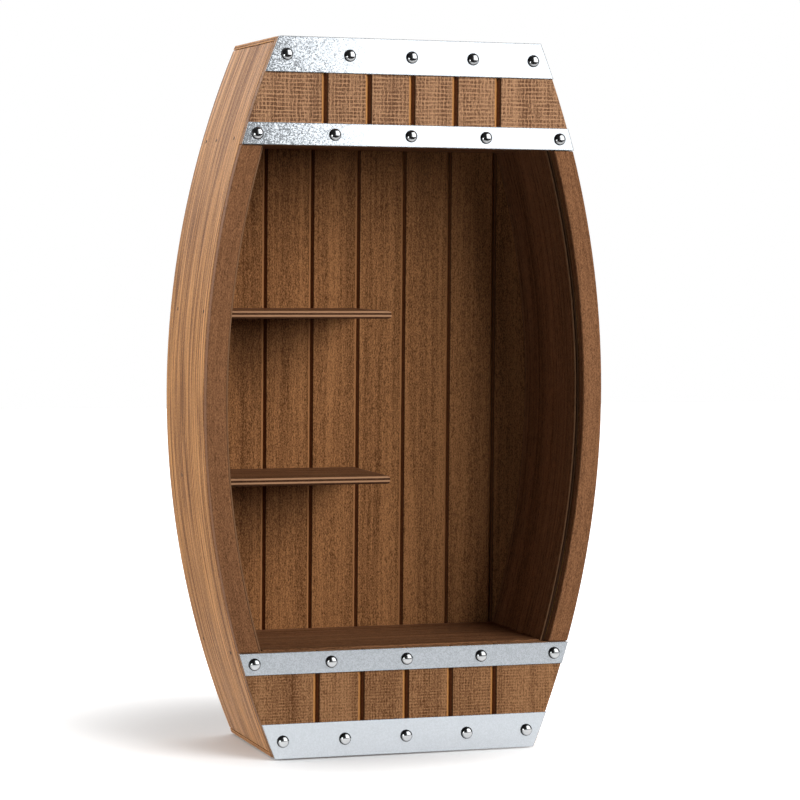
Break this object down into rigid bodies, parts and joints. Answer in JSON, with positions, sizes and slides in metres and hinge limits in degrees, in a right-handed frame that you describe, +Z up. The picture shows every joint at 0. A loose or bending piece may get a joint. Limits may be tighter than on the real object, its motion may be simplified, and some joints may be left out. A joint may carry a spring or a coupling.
{
  "type": "wine glass rack",
  "caption": "Barrel-shaped wooden rack with an open front, small shelves for tumblers beside a tall bay for a bottle, and nailed steel bands across its grooved front.",
  "frame": {"origin": "Middle of the bottom board's underside across the width, at half the depth of the wooden case.", "axes": "+X to the right seen from the front, +Y from the open front to the back panel, +Z up."},
  "size_m": [0.2918, 0.1193, 0.5],
  "materials": {
    "stained_fir": "brown stain, sawn grain, matt",
    "stained_plywood": "brown stain, thin layered plywood, matt",
    "galvanised_steel": "zinc coated strip, satin with faint spangle",
    "chromed_steel": "polished nail head"
  },
  "bodies": {
    "root": {"side_panel_left": "stained_fir", "side_panel_right": "stained_fir", "front_stave_left": "stained_fir", "front_stave_right": "stained_fir", "upper_fascia": "stained_fir", "lower_fascia": "stained_fir", "compartment_ceiling": "stained_fir", "compartment_floor": "stained_fir", "back_panel": "stained_fir", "side_lining_left": "stained_plywood", "side_lining_right": "stained_plywood", "top_board": "stained_plywood", "bottom_board": "stained_plywood", "shelf_upper": "stained_plywood", "shelf_lower": "stained_plywood", "upper_end_band": "galvanised_steel", "upper_inner_band": "galvanised_steel", "lower_inner_band": "galvanised_steel", "lower_end_band": "galvanised_steel", "nail_upper_end_band_1": "chromed_steel", "nail_upper_end_band_2": "chromed_steel", "nail_upper_end_band_3": "chromed_steel", "nail_upper_end_band_4": "chromed_steel", "nail_upper_end_band_5": "chromed_steel", "nail_upper_inner_band_1": "chromed_steel", "nail_upper_inner_band_2": "chromed_steel", "nail_upper_inner_band_3": "chromed_steel", "nail_upper_inner_band_4": "chromed_steel", "nail_upper_inner_band_5": "chromed_steel", "nail_lower_inner_band_1": "chromed_steel", "nail_lower_inner_band_2": "chromed_steel", "nail_lower_inner_band_3": "chromed_steel", "nail_lower_inner_band_4": "chromed_steel", "nail_lower_inner_band_5": "chromed_steel", "nail_lower_end_band_1": "chromed_steel", "nail_lower_end_band_2": "chromed_steel", "nail_lower_end_band_3": "chromed_steel", "nail_lower_end_band_4": "chromed_steel", "nail_lower_end_band_5": "chromed_steel"}
  },
  "joints": []
}
